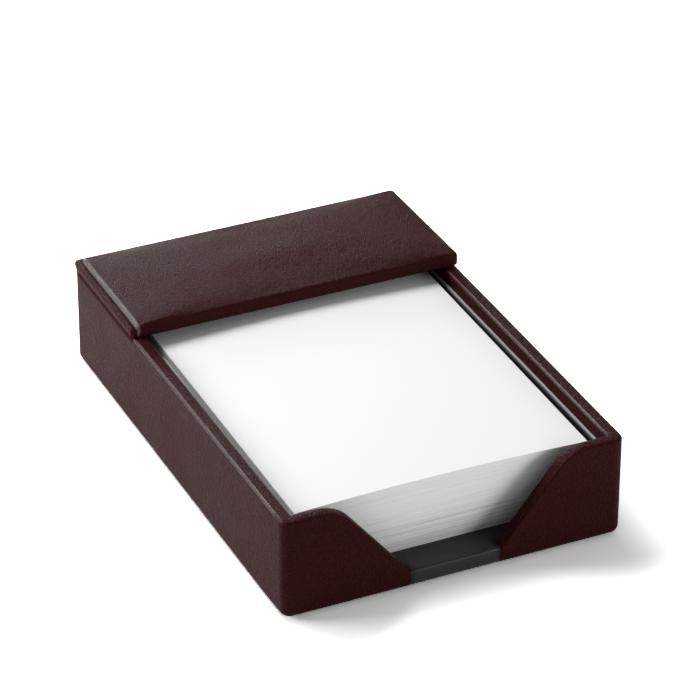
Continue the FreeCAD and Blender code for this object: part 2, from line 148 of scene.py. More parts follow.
def fibre_flecks():
    """Short fibres seen as flecks: a fine noise, stretched, and broad patches mix two colours."""
    group, given, made = new_group(
        "fibre_flecks",
        [
            ("Vector", "NodeSocketVector", None),
            ("Flecks per metre", "NodeSocketFloat", 2000.0),
            ("Stretch", "NodeSocketVector", (1.0, 1.0, 1.0)),
            ("Dark", "NodeSocketColor", (0.0, 0.0, 0.0, 1.0)),
            ("Light", "NodeSocketColor", (1.0, 1.0, 1.0, 1.0)),
        ],
        [("Color", "NodeSocketColor"), ("Height", "NodeSocketFloat")],
    )
    drawn = add_vector_math(group, "MULTIPLY", given.outputs[0], given.outputs[2])
    fine = add_noise(group, drawn, given.outputs[1], 4.0, 0.65)
    patches = add_noise(group, given.outputs[0], FIBRE_PATCHES_PER_METRE, 3.0)
    both = add_node(
        group, "ShaderNodeMix", {0: FIBRE_PATCH_SHARE, 2: fine.outputs[0], 3: patches.outputs[0]}
    )
    share = add_node(
        group, "ShaderNodeMapRange", {0: both.outputs[0], 1: FIBRE_CONTRAST[0], 2: FIBRE_CONTRAST[1]}
    )
    mixed = add_node(
        group,
        "ShaderNodeMix",
        {0: share.outputs[0], 6: given.outputs[3], 7: given.outputs[4]},
        data_type="RGBA",
    )
    group.links.new(mixed.outputs[2], made.inputs[0])
    group.links.new(fine.outputs[0], made.inputs[1])
    return group


FIBRE_FLECKS = fibre_flecks()


def new_material(name, roughness, specular=0.5):
    """A material with an empty tree but for its output and Principled shader."""
    material = bpy.data.materials.new(name)
    material.use_nodes = True
    tree = material.node_tree
    tree.nodes.clear()
    shader = add_node(
        tree, "ShaderNodeBsdfPrincipled", {"Roughness": roughness, "Specular IOR Level": specular}
    )
    output = tree.nodes.new("ShaderNodeOutputMaterial")
    tree.links.new(shader.outputs[0], output.inputs[0])
    place = tree.nodes.new("ShaderNodeTexCoord").outputs["Object"]
    return material, tree, shader, place


def add_bump(tree, shader, height, strength, depth):
    """Bumps a shader's normal by a height."""
    bump = add_node(tree, "ShaderNodeBump", {"Strength": strength, "Distance": depth, "Height": height})
    tree.links.new(bump.outputs[0], shader.inputs["Normal"])


def fibre_material(name, dark, light, flecks, stretch, roughness, bump_depth, specular=0.5):
    """Felt, board, card or lining: flecked with fibres, with a nap or tooth as deep as bump_depth."""
    material, tree, shader, place = new_material(name, roughness, specular)
    fibres = add_node(
        tree,
        "ShaderNodeGroup",
        {
            "Vector": place,
            "Flecks per metre": flecks,
            "Stretch": stretch,
            "Dark": (*dark, 1),
            "Light": (*light, 1),
        },
        node_tree=FIBRE_FLECKS,
    )
    tree.links.new(fibres.outputs["Color"], shader.inputs["Base Color"])
    add_bump(tree, shader, fibres.outputs["Height"], FIBRE_BUMP, bump_depth)
    return material


def spaced(start, end, count):
    """Evenly spaced values from start to end, both among them."""
    return [start + (end - start) * index / (count - 1) for index in range(count)]


def arc(radius, start, end, count):
    """Points (across, up) of an arc about the origin, between two angles in degrees."""
    return [
        (radius * math.cos(math.radians(angle)), radius * math.sin(math.radians(angle)))
        for angle in spaced(start, end, count)
    ]


def new_piece(name, mesh, material, smooth_to=40):
    """An object with smooth shading, apart from edges sharper than an angle."""
    mesh.materials.append(material)
    mesh.shade_smooth()
    mesh.set_sharp_from_angle(angle=math.radians(smooth_to))
    piece = bpy.data.objects.new(name, mesh)
    scene.collection.objects.link(piece)
    return piece


def join_rows(form, rows):
    """Makes the faces between each row of points and the next."""
    for near, far in zip(rows, rows[1:]):
        for index in range(len(near) - 1):
            form.faces.new((near[index], near[index + 1], far[index + 1], far[index]))


def mesh_as_made(form, name):
    """The mesh of a form, with its points and faces as they are."""
    mesh = bpy.data.meshes.new(name)
    form.to_mesh(mesh)
    form.free()
    return mesh


def mesh_from(form, name):
    """The mesh of a form whose doubled points are merged and whose faces point outwards."""
    bmesh.ops.remove_doubles(form, verts=form.verts, dist=MERGE_DISTANCE)
    bmesh.ops.dissolve_degenerate(form, edges=form.edges, dist=LEAST_EDGE)
    bmesh.ops.recalc_face_normals(form, faces=form.faces)
    return mesh_as_made(form, name)


def slab_ring(reach, middle, radius, level, columns, rows, turns):
    """One level of a slab with rounded corners, as points that match from level to level."""
    ring = [(x, -reach.y - radius) for x in spaced(-reach.x, reach.x, columns)]
    ring += [(reach.x + x, -reach.y + y) for x, y in arc(radius, -90, 0, turns)]
    ring += [(reach.x + radius, y) for y in spaced(-reach.y, reach.y, rows)]
    ring += [(reach.x + x, reach.y + y) for x, y in arc(radius, 0, 90, turns)]
    ring += [(x, reach.y + radius) for x in spaced(reach.x, -reach.x, columns)]
    ring += [(-reach.x + x, reach.y + y) for x, y in arc(radius, 90, 180, turns)]
    ring += [(-reach.x - radius, y) for y in spaced(reach.y, -reach.y, rows)]
    ring += [(-reach.x + x, -reach.y + y) for x, y in arc(radius, 180, 270, turns)]
    return [Vector((middle.x + x, middle.y + y, level)) for x, y in ring]


def slab_mesh(name, low, high, corner, low_edge, top_edge, pitch, hang=None, turns=7):
    """A flat panel with rounded corners and edges, whose top is made of squares that can be shaped.

    Where hang gives a depth for a place, the lower edge hangs that far below the underside, as an apron.
    """
    middle = (low + high) / 2
    reach = (high - low) / 2 - Vector((corner, corner, 0))
    columns = round(2 * reach.x / pitch) + 1
    rows = round(2 * reach.y / pitch) + 1
    profile = [(2 * low_edge, low.z, False)]
    profile += [(low_edge - x, low.z + low_edge + z, True) for x, z in arc(low_edge, -90, 0, turns)]
    profile += [(top_edge - x, high.z - top_edge + z, False) for x, z in arc(top_edge, 0, 90, turns)]
    form = bmesh.new()
    rings = []
    for inset, level, hangs in profile:
        points = slab_ring(reach, middle, corner - inset, level, columns, rows, turns)
        if hang and hangs:
            for point in points:
                point.z -= hang(point)
        rings.append([form.verts.new(point) for point in points])
    for lower, upper in zip(rings, rings[1:]):
        for index in range(len(lower)):
            form.faces.new((lower[index - 1], lower[index], upper[index], upper[index - 1]))
    form.faces.new(rings[0][::-1])
    grid = [
        [form.verts.new((middle.x + x, middle.y + y, high.z)) for x in spaced(-reach.x, reach.x, columns)]
        for y in spaced(-reach.y, reach.y, rows)
    ]
    join_rows(form, grid)
    sides = (
        grid[0],
        [row[-1] for row in grid],
        grid[-1][::-1],
        [row[0] for row in grid[::-1]],
    )
    first = 0
    for side in sides:
        edge = rings[-1][first : first + len(side)]
        bend = rings[-1][first + len(side) : first + len(side) + turns]
        for index in range(len(side) - 1):
            form.faces.new((edge[index], edge[index + 1], side[index + 1], side[index]))
        for index in range(turns - 1):
            form.faces.new((bend[index], bend[index + 1], side[-1]))
        first += len(side) + turns
    return mesh_from(form, name)


felt_material = fibre_material(
    "dark_wool_felt",
    dark=(0.012, 0.011, 0.011),
    light=(0.05, 0.045, 0.043),
    flecks=1800,
    stretch=(1, 1, 1),
    roughness=0.95,
    bump_depth=0.3 * MM,
    specular=0.1,
)
felt_low, felt_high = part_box("base_felt")
felt = new_piece(
    "felt_pad",
    slab_mesh("felt_pad", felt_low, felt_high, FELT_CORNER, FELT_EDGE, FELT_EDGE, SLAB_PITCH),
    felt_material,
)
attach(felt, "tray")
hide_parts("base_felt")

# Boards and bottom card: grey pulp board for the base, the walls and the lid's lower panel, and a thinner
# brown card that fills the underside. They are cut square and glued, and the leather hides the boards.
board_material = fibre_material(
    "grey_pulp_board",
    dark=(0.16, 0.15, 0.135),
    light=(0.34, 0.32, 0.29),
    flecks=900,
    stretch=(1, 1, 3),
    roughness=0.9,
    bump_depth=0.08 * MM,
    specular=0.2,
)
card_material = fibre_material(
    "brown_card",
    dark=(0.2, 0.13, 0.075),
    light=(0.38, 0.26, 0.16),
    flecks=1200,
    stretch=(0.3, 1, 1),
    roughness=0.9,
    bump_depth=0.05 * MM,
    specular=0.2,
)
BOARDS = (
    "base_board",
    "left_wall_board",
    "right_wall_board",
    "back_wall_board",
    "front_left_board",
    "front_right_board",
    "lid_lower_board",
)


def dress_node(name, material):
    """Gives a CAD piece that keeps its shape its finish."""
    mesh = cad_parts[name].data
    mesh.materials.clear()
    mesh.materials.append(material)


for board_name in BOARDS:
    dress_node(board_name, board_material)
dress_node("bottom_card", card_material)

# Leather wrap: one strip of dark brown leather drawn round the boards, over the rim, along the scoop and
# down the inside, with its lower edge turned under the base. It is glued down and stops at the lip.
LEATHER_DARK = (0.0265, 0.0040, 0.0036)
LEATHER_LIGHT = (0.0400, 0.0062, 0.0055)
LEATHER_SPECULAR = 0.04
RIM_POLISH = (0.36, 1.5)
SEAM_DULLNESS = 0.6
OUTER_BURNISH = 1.6
INNER_BURNISH = 1.4
GRAIN_DRIFTS_PER_METRE = 350.0
GRAIN_DRIFT = 1.2 * MM
PEBBLE_FLANK = 0.28
PEBBLE_HEIGHT = 0.6
CREASES_PER_METRE = 420.0
CREASE_FLANK = 0.06
CREASE_HEIGHT = 0.35
PORES_PER_METRE = 6000.0
PORE_HEIGHT = 0.25
DYE_PATCHES_PER_METRE = 45.0
DYE_CONTRAST = (0.25, 0.8)
PEBBLE_TONE = 0.45
DULL_PATCHES = 0.16
GRAIN_BUMP = 0.6
LEATHER_THICKNESS = 0.7 * MM
FRONT_CORNER = 3.5 * MM
BACK_CORNER = 3.0 * MM
INNER_CORNER = 0.4 * MM
BOTTOM_RADIUS = 2.0 * MM
FRONT_FOOT_RADIUS = 2.8 * MM
FOOT_CHANGE = 12 * MM
RIM_RADIUS = 0.9 * MM
RIM_CROWN = 0.12 * MM
LOW_RIM_SHARE = 0.6
TURN_UNDER = 12 * MM
SLOPE = math.radians(50.8)
SHOULDER_RADIUS = 14 * MM
TOE_RADIUS = 1.5 * MM
LEATHER_SWELL = 0.05 * MM
SWELL_PER_METRE = 55
HINGE_BED = 0.55 * MM
BED_STEP = 0.05 * MM

wrap_low, wrap_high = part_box("leather_wrap")
LID_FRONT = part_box("lid_lower_leather")[0].y
room_low, room_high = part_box("floor_lining")
board_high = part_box("base_board")[1]
tray_leaf_low, tray_leaf_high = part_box("hinge_tray_leaf")
HALF_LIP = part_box("front_right_board")[0].x - (wrap_high.x - board_high.x)
WALL = wrap_high.x - room_high.x
LIP_TOP = room_high.z


def rounded_cells(tree, place, cells, flank):
    """Cells that rise from their edges to level tops, over flanks as wide as a share of a cell."""
    edges = add_node(
        tree, "ShaderNodeTexVoronoi", {"Vector": place, "Scale": cells}, feature="DISTANCE_TO_EDGE"
    )
    tops = {0: edges.outputs[0], 1: 0.0, 2: flank}
    return add_node(tree, "ShaderNodeMapRange", tops, interpolation_type="SMOOTHSTEP").outputs[0]


def leather_grain():
    """Fine pebbled grain with shallow creases: a colour, a roughness and a height."""
    group, given, made = new_group(
        "leather_grain",
        [
            ("Vector", "NodeSocketVector", None),
            ("Pebbles per metre", "NodeSocketFloat", 1700.0),
            ("Dark", "NodeSocketColor", (0.0, 0.0, 0.0, 1.0)),
            ("Light", "NodeSocketColor", (1.0, 1.0, 1.0, 1.0)),
            ("Least roughness", "NodeSocketFloat", 0.4),
        ],
        [("Color", "NodeSocketColor"), ("Roughness", "NodeSocketFloat"), ("Height", "NodeSocketFloat")],
    )
    place = given.outputs["Vector"]
    warp = add_noise(group, place, GRAIN_DRIFTS_PER_METRE, 2.0)
    shift = add_vector_math(group, "MULTIPLY", warp.outputs[1], (GRAIN_DRIFT, GRAIN_DRIFT, GRAIN_DRIFT))
    drifted = add_vector_math(group, "ADD", place, shift)
    pebbles = rounded_cells(group, drifted, given.outputs["Pebbles per metre"], PEBBLE_FLANK)
    creases = rounded_cells(group, drifted, CREASES_PER_METRE, CREASE_FLANK)
    pores = add_noise(group, place, PORES_PER_METRE, 2.0, 0.6)
    patches = add_noise(group, place, DYE_PATCHES_PER_METRE, 5.0, 0.6)
    height = add_math(group, "MULTIPLY", pebbles, PEBBLE_HEIGHT)
    height = add_math(group, "MULTIPLY_ADD", creases, CREASE_HEIGHT, height)
    height = add_math(group, "MULTIPLY_ADD", pores.outputs[0], PORE_HEIGHT, height)
    tone = add_node(group, "ShaderNodeMix", {0: PEBBLE_TONE, 2: patches.outputs[0], 3: pebbles})
    share = add_node(
        group, "ShaderNodeMapRange", {0: tone.outputs[0], 1: DYE_CONTRAST[0], 2: DYE_CONTRAST[1]}
    )
    colour = add_node(
        group,
        "ShaderNodeMix",
        {0: share.outputs[0], 6: given.outputs["Dark"], 7: given.outputs["Light"]},
        data_type="RGBA",
    )
    dull = add_math(
        group, "MULTIPLY_ADD", patches.outputs[0], DULL_PATCHES, given.outputs["Least roughness"]
    )
    group.links.new(colour.outputs[2], made.inputs[0])
    group.links.new(dull, made.inputs[1])
    group.links.new(height, made.inputs[2])
    return group


LEATHER_GRAIN = leather_grain()


def leather_material(name, pebbles, least_roughness, grain_depth, polish):
    """Dyed leather with its grain, polished where the attribute burnish is above 0 and dull below it.

    The polish is the roughness of its coat and how strongly the coat mirrors.
    """
    material, tree, shader, place = new_material(name, least_roughness, LEATHER_SPECULAR)
    grain = add_node(
        tree,
        "ShaderNodeGroup",
        {
            "Vector": place,
            "Pebbles per metre": pebbles,
            "Dark": (*LEATHER_DARK, 1),
            "Light": (*LEATHER_LIGHT, 1),
            "Least roughness": least_roughness,
        },
        node_tree=LEATHER_GRAIN,
    )
    burnish = add_node(tree, "ShaderNodeAttribute", attribute_name="burnish").outputs["Fac"]
    polished = add_math(tree, "MULTIPLY", burnish, grain.outputs["Height"], clamp=True)
    dull = add_math(tree, "MULTIPLY", burnish, -1.0, clamp=True)
    roughness = add_math(tree, "MULTIPLY_ADD", dull, SEAM_DULLNESS, grain.outputs["Roughness"])
    tree.links.new(grain.outputs["Color"], shader.inputs["Base Color"])
    tree.links.new(roughness, shader.inputs["Roughness"])
    tree.links.new(polished, shader.inputs["Coat Weight"])
    shader.inputs["Coat Roughness"].default_value = polish[0]
    shader.inputs["Coat IOR"].default_value = polish[1]
    add_bump(tree, shader, grain.outputs["Height"], GRAIN_BUMP, grain_depth)
    return material


def scoop_line():
    """The edge of the scoop on the right wing, as points (x, z) from its foot to the level rim."""
    rise, run = math.sin(SLOPE), math.cos(SLOPE)
    toe_level = LIP_TOP + TOE_RADIUS * (1 - rise) * math.tan(SLOPE) - TOE_RADIUS * run
    toe_x = HALF_LIP + TOE_RADIUS
    crest_level = wrap_high.z - SHOULDER_RADIUS
    shoulder_x = HALF_LIP + SHOULDER_RADIUS * rise
    shoulder_x += (crest_level + SHOULDER_RADIUS * run - LIP_TOP) / math.tan(SLOPE)
    slope_turn = 90 + math.degrees(SLOPE)
    toe = [(toe_x + x, toe_level + z) for x, z in arc(TOE_RADIUS, 180, slope_turn, 6)]
    shoulder = [(shoulder_x + x, crest_level + z) for x, z in arc(SHOULDER_RADIUS, slope_turn, 90, 14)]
    straight = list(zip(spaced(toe[-1][0], shoulder[0][0], 20), spaced(toe[-1][1], shoulder[0][1], 20)))
    return toe + straight[1:-1] + shoulder


def wrap_plan(inset, wing_x):
    """Half of the strip's path at a distance in from the outside: toe, wing, side and back."""
    front_radius = max(FRONT_CORNER - inset, INNER_CORNER)
    back_radius = max(BACK_CORNER - inset, INNER_CORNER)
    far_x, far_y = wrap_high.x - inset, wrap_high.y - inset
    front_x, front_y = far_x - front_radius, front_radius - far_y
    back_x, back_y = far_x - back_radius, far_y - back_radius
    bed_edge = tray_leaf_high.x
    path = [(x, -far_y) for x in wing_x]
    path += [(x, -far_y) for x in spaced(wing_x[-1], front_x, 6)[1:]]
    path += [(front_x + x, front_y + y) for x, y in arc(front_radius, -90, 0, 9)[1:]]
    path += [(far_x, y) for y in spaced(front_y, back_y, 86)[1:]]
    path += [(back_x + x, back_y + y) for x, y in arc(back_radius, 0, 90, 9)[1:]]
    path += [(x, far_y) for x in spaced(back_x, bed_edge + BED_STEP, 4)[1:]]
    path += [(x, far_y) for x in spaced(bed_edge - BED_STEP, 0, 26)]
    return path


def wrap_section(rim, foot, side):
    """The strip's section from below to the inside, as points (inset, z, burnish).

    It has a rim's level and a foot's radius. Hands rub the edges of the rim where side is 1, and the
    edges are dull, as in the seam under the lid, where it is -1.
    """
    radius = min(RIM_RADIUS, LOW_RIM_SHARE * (rim - board_high.z))
    outer_foot, outer_top = wrap_low.z + foot, rim - radius
    full_height = wrap_high.z - RIM_RADIUS - outer_foot
    bed_share = (tray_leaf_low.z - outer_foot) / full_height
    step = BED_STEP / full_height
    shares = spaced(0, bed_share - step, 10) + spaced(bed_share + step, 1, 8)
    section = [(inset, wrap_low.z, 0) for inset in spaced(TURN_UNDER, foot, 5)]
    section += [(foot + across, outer_foot + up, 0) for across, up in arc(foot, 270, 180, 9)[1:]]
    section += [(0, outer_foot + (outer_top - outer_foot) * share, 0) for share in shares[1:-1]]
    section.append((0, outer_top, min(side, 0)))
    rubbed = OUTER_BURNISH * side
    section += [(radius + across, outer_top + up, rubbed) for across, up in arc(radius, 180, 90, 6)[1:-1]]
    for share in spaced(0, 1, 7):
        swell = RIM_CROWN * 4 * share * (1 - share) * radius / RIM_RADIUS
        section.append((radius + (WALL - 2 * radius) * share, rim + swell, 0))
    rubbed = INNER_BURNISH * side
    inner_rim = WALL - radius
    section += [(inner_rim + across, outer_top + up, rubbed) for across, up in arc(radius, 90, 0, 6)[1:-1]]
    section += [(WALL, z, 0) for z in spaced(outer_top, board_high.z, 10)]
    return section


def wrap_mesh():
    """The strip, made of its sections along one half of its path and their mirror images."""
    rim_points = scoop_line()
    wing_x = [x for x, z in rim_points]
    plan = wrap_plan(0, wing_x)
    rims = [z for x, z in rim_points] + [wrap_high.z] * (len(plan) - len(rim_points))
    sections = []
    for (x, y), rim in zip(plan, rims):
        side = min(max((y + wrap_high.y) / FOOT_CHANGE, 0), 1)
        foot = FRONT_FOOT_RADIUS + (BOTTOM_RADIUS - FRONT_FOOT_RADIUS) * side
        sections.append(wrap_section(rim, foot, side if y < LID_FRONT else -1))
    half = []
    for station, section in enumerate(sections):
        row = []
        for inset, z, rubbed in section:
            x, y = wrap_plan(inset, wing_x)[station]
            if y > 0 and x < tray_leaf_high.x and z > tray_leaf_low.z:
                y = min(y, wrap_high.y - HINGE_BED)
            row.append((Vector((x, y, z)), rubbed))
        half.append(row)
    mirrored = [
        [(Vector((-point.x, point.y, point.z)), rubbed) for point, rubbed in row] for row in half[-2::-1]
    ]
    form = bmesh.new()
    burnish = form.verts.layers.float.new("burnish")
    rows = []
    for station in half + mirrored:
        rows.append([form.verts.new(point) for point, rubbed in station])
        for vert, (point, rubbed) in zip(rows[-1], station):
            vert[burnish] = rubbed
    join_rows(form, rows)
    swell_leather(form)
    return mesh_from(form, "tray_leather")


def swell_leather(form):
    """Lets the leather wander a little from the flat board, as glued leather does."""
    bmesh.ops.recalc_face_normals(form, faces=form.faces)
    form.normal_update()
    for vert in form.verts:
        vert.co += vert.normal * LEATHER_SWELL * noise.noise(vert.co * SWELL_PER_METRE)


def thicken(piece, name, thickness):
    """Gives a sheet its thickness, inwards from the face that shows."""
    skin = piece.modifiers.new(name, "SOLIDIFY")
    skin.thickness = thickness
    skin.offset = -1


wrap_material = leather_material(
    "wrap_leather", pebbles=850, least_roughness=0.32, grain_depth=0.42 * MM, polish=RIM_POLISH
)
wrap = new_piece("tray_leather", wrap_mesh(), wrap_material)
thicken(wrap, "leather_thickness", LEATHER_THICKNESS)
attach(wrap, "tray")
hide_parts("leather_wrap")

# Charcoal lining: smooth coated paper on thin card, on the floor, over the lip, on the inside of the
# walls and under the lid. It is glued in after the leather. On the walls a painted highlight lightens its cut
# upper edges.
LINING_DARK = (0.018, 0.0165, 0.0200)
LINING_LIGHT = (0.031, 0.0285, 0.034)
# Painted highlight on the wall linings: its colour at their cut top edge, and how far down it fades.
PAINTED_HIGHLIGHT_COLOUR = (0.4, 0.4, 0.42)
PAINTED_HIGHLIGHT_DEPTH = 1.6 * MM
LIP_TURN = 0.8 * MM
LIP_FOOT = 2.6 * MM
LIP_GAP = 0.15 * MM
LINING_THICKNESS = 0.7 * MM
WALL_LININGS = ("left_lining", "right_lining", "back_lining", "front_left_lining", "front_right_lining")


def lining_material(name):
    """Dark coated paper with a fine fleck and a low sheen."""
    return fibre_material(
        name,
        dark=LINING_DARK,
        light=LINING_LIGHT,
        flecks=2600,
        stretch=(1, 1, 1),
        roughness=0.36,
        bump_depth=0.02 * MM,
        specular=0.3,
    )


def paint_edge_highlight(material, level):
    """Paints a highlight on the lining that fades in over a short stretch below a level, where the lining is
    cut and not turned over.
    """
    tree = material.node_tree
    shader = tree.nodes["Principled BSDF"]
    covered = shader.inputs["Base Color"].links[0].from_socket
    place = tree.nodes["Texture Coordinate"].outputs["Object"]
    height = add_node(tree, "ShaderNodeSeparateXYZ", {0: place}).outputs["Z"]
    # Painted highlight: the lining gets lighter towards its cut top edge.
    highlight_share = add_node(tree, "ShaderNodeMapRange", {0: height, 1: level - PAINTED_HIGHLIGHT_DEPTH, 2: level}).outputs[0]
    mixed = add_node(
        tree, "ShaderNodeMix", {0: highlight_share, 6: covered, 7: (*PAINTED_HIGHLIGHT_COLOUR, 1)}, data_type="RGBA"
    )
    tree.links.new(mixed.outputs[2], shader.inputs["Base Color"])


def lip_mesh():
    """The lining of the floor, from the back wall to the front, over the lip and under it."""
    back, front, top, under = wrap_high.y - WALL, room_low.y, room_high.z, wrap_low.z
    inner_front = wrap_low.y + WALL
    lip_x = HALF_LIP - LIP_GAP
    floor_path = [(y, top) for y in spaced(back, inner_front, 30)]
    lip_path = [(y, top) for y in spaced(inner_front, front + LIP_TURN, 5)]
    lip_path += [(front + LIP_TURN - y, top - LIP_TURN + z) for y, z in arc(LIP_TURN, 90, 0, 6)[1:]]
    lip_path += [(front, z) for z in spaced(top - LIP_TURN, under + LIP_FOOT, 5)[1:]]
    lip_path += [(front + LIP_FOOT - y, under + LIP_FOOT + z) for y, z in arc(LIP_FOOT, 0, -90, 8)[1:]]
    lip_path += [(y, under) for y in spaced(front + LIP_FOOT, front + TURN_UNDER, 4)[1:]]
    sides = spaced(lip_x, room_high.x, 8)
    columns = [-x for x in sides[:0:-1]] + spaced(-lip_x, lip_x, 13) + sides[1:]
    form = bmesh.new()
    for across, path in ((columns, floor_path), (spaced(-lip_x, lip_x, 13), lip_path)):
        rows = [[form.verts.new((x, y, z)) for x in across] for y, z in path]
        join_rows(form, rows[::-1])
    bmesh.ops.remove_doubles(form, verts=form.verts, dist=MERGE_DISTANCE)
    return mesh_as_made(form, "floor_and_lip")


turned_lining = lining_material("charcoal_lining")
lip = new_piece("floor_and_lip", lip_mesh(), turned_lining)
thicken(lip, "lining_thickness", LINING_THICKNESS)
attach(lip, "tray")
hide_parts("floor_lining")
dress_node("lid_lining", turned_lining)
# The wall linings carry a painted highlight along their cut top edge.
highlighted_lining = lining_material("charcoal_lining_painted_highlight")
paint_edge_highlight(highlighted_lining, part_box("right_lining")[1].z)
for lining_name in WALL_LININGS:
    dress_node(lining_name, highlighted_lining)

# Lower lid panel: a board in the same leather, which rests on the rim of the tray. Its front corners are
# round, and a roll of leather closes its back, with a shallow bed for the hinge strip.
PANEL_CORNER = 1.0 * MM
PANEL_EDGE = 0.9 * MM
PANEL_ROLL = 3.0 * MM
APRON_THICKNESS = 0.7 * MM
END_BULGE = 0.9 * MM
BULGE_START = 4 * MM
SHARP_ANGLE = math.radians(40)
panel_low, panel_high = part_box("lid_lower_leather")
pad_low, pad_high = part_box("lid_pad_leather")
panel_low.y = pad_low.y + APRON_THICKNESS


def bevel_edges(form, rule, radius, segments):
    """Rounds the edges of a form that meet a rule."""
    edges = [edge for edge in form.edges if rule(edge)]
    bmesh.ops.bevel(
        form, geom=edges, offset=radius, offset_type="OFFSET", segments=segments, profile=0.5, affect="EDGES"
    )


def edge_middle(edge):
    """The point halfway along an edge."""
    return (edge.verts[0].co + edge.verts[1].co) / 2


def cut_across(form, place, normal):
    """Cuts the faces of a form along a plane, so that the points there can be moved."""
    everything = form.verts[:] + form.edges[:] + form.faces[:]
    bmesh.ops.bisect_plane(form, geom=everything, plane_co=place, plane_no=normal)


def panel_mesh():
    """The panel with its round corners, its roll, its bulging left end and the bed for the strip."""
    form = bmesh.new()
    bmesh.ops.create_cube(form, size=1)
    span = panel_high - panel_low
    for vert in form.verts:
        vert.co = panel_low + (vert.co + Vector((0.5, 0.5, 0.5))) * span
    front, back, top = panel_low.y + PANEL_EDGE, panel_high.y - PANEL_EDGE, panel_high.z - PANEL_EDGE

    def is_front_corner(edge):
        """Whether an edge is one of the two upright ones at the front."""
        return edge_middle(edge).y < front and abs(edge_middle(edge).x) > span.x / 3

    def is_back_top(edge):
        """Whether an edge is the one that becomes the roll."""
        return edge_middle(edge).y > back and edge_middle(edge).z > top

    bevel_edges(form, is_front_corner, PANEL_CORNER, 8)
    bevel_edges(form, is_back_top, PANEL_ROLL, 10)
    bevel_edges(form, lambda edge: edge.calc_face_angle(0) > SHARP_ANGLE, PANEL_EDGE, 5)
    for side in (-1, 1):
        for gap in (-BED_STEP, BED_STEP):
            cut_across(form, (side * (tray_leaf_high.x + gap), 0, 0), (1, 0, 0))
    for share in spaced(0, 1, 4)[1:]:
        cut_across(form, (0, panel_high.y - BULGE_START * share, 0), (0, 1, 0))
    for vert in form.verts:
        if vert.co.x < panel_low.x + PANEL_CORNER:
            share = min((panel_high.y - vert.co.y) / BULGE_START, 1)
            vert.co.x -= END_BULGE * share
    axis_y, axis_z = panel_high.y - PANEL_ROLL, panel_high.z - PANEL_ROLL
    for vert in form.verts:
        out, up = vert.co.y - axis_y, max(vert.co.z - axis_z, 0)
        if abs(vert.co.x) < tray_leaf_high.x and out > -HINGE_BED / 2:
            vert.co.y -= HINGE_BED * out / PANEL_ROLL
            vert.co.z -= HINGE_BED * up / PANEL_ROLL
    return mesh_from(form, "lid_panel_leather")


panel = new_piece("lid_panel_leather", panel_mesh(), wrap_material)
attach(panel, "lid")
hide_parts("lid_lower_leather")

# Hinge strip: one strip of thin leather, glued into the back of the tray, bent over the roll of the lid's
# lower panel and glued under the pad. The real strip bends on the line where the tray and the lid meet;
# here it is one fixed shape, as it lies with the lid shut.
STRIP_THICKNESS = 0.45 * MM
BEND_REACH = 1.5 * MM
lid_leaf_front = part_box("hinge_lid_leaf")[0].y


def strip_mesh():
    """The strip, from its foot on the back wall up over the roll and forwards under the pad."""
    roll, back, top = PANEL_ROLL, panel_high.y, panel_high.z
    path = [(back, z) for z in spaced(tray_leaf_low.z, tray_leaf_high.z - BEND_REACH, 12)]
    path += [(back, z) for z in spaced(path[-1][1], top - roll, 8)[1:]]
    path += [(back - roll + across, top - roll + up) for across, up in arc(roll, 0, 90, 10)[1:]]
    path += [(y, top) for y in spaced(back - roll, lid_leaf_front, 6)[1:]]
    form = bmesh.new()
    rows = [
        [form.verts.new((x, y, z)) for x in spaced(tray_leaf_low.x, tray_leaf_high.x, 51)] for y, z in path
    ]
    join_rows(form, rows[::-1])
    return mesh_as_made(form, "hinge_strip")


strip = new_piece("hinge_strip", strip_mesh(), wrap_material)
thicken(strip, "strip_thickness", STRIP_THICKNESS)
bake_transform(strip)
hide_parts("hinge_tray_leaf", "hinge_lid_leaf")

# Board of the pad: grey pulp board under the foam, cut square. It is glued to the lower panel and set in
# at the left like the leather that is drawn over it.
BOARD_EDGE = 0.1 * MM
PAD_CORNER = 1.9 * MM
PAD_SET_IN = 1.7 * MM
pad_board_low, pad_board_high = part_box("lid_pad_board")
pad_board_low.x += PAD_SET_IN
pad_board = new_piece(
    "lid_pad_stiffener",
    slab_mesh(
        "lid_pad_stiffener", pad_board_low, pad_board_high, PAD_CORNER, BOARD_EDGE, BOARD_EDGE, SLAB_PITCH
    ),
    board_material,
)
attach(pad_board, "lid")
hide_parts("lid_pad_board")

# Padded lid top: leather drawn over thin foam and a board, and glued under its edge. The foam is blown up
# by a cloth simulation into a low crown, with the glued edge held.
PAD_PITCH = 2 * MM
PAD_POLISH = (0.5, 1.8)
PAD_EDGE = 1.5 * MM
APRON_GAP = 0.1 * MM
PAD_CROWN = 1.3 * MM
PAD_SEAT = 0.9 * MM
PAD_DRAW_IN = 0.2 * MM
PAD_SKEW = 0.35 * MM
PAD_WIDER = 0.5 * MM
PAD_NARROWER = 0.24 * MM
PAD_BURNISH = 1.6
PAD_RUB_FADE = 0.5
PAD_PRESSURE = 4
PAD_POINT_MASS = 0.001
PAD_FRAMES = 20


def apron_depth(place):
    """How far the leather hangs over the front of the lower panel: all the way, but for the corners."""
    share = (pad_low.y + PAD_CORNER - place.y) / (PAD_CORNER / 2)
    return min(max(share, 0), 1) * (panel_high.z - panel_low.z - APRON_GAP)


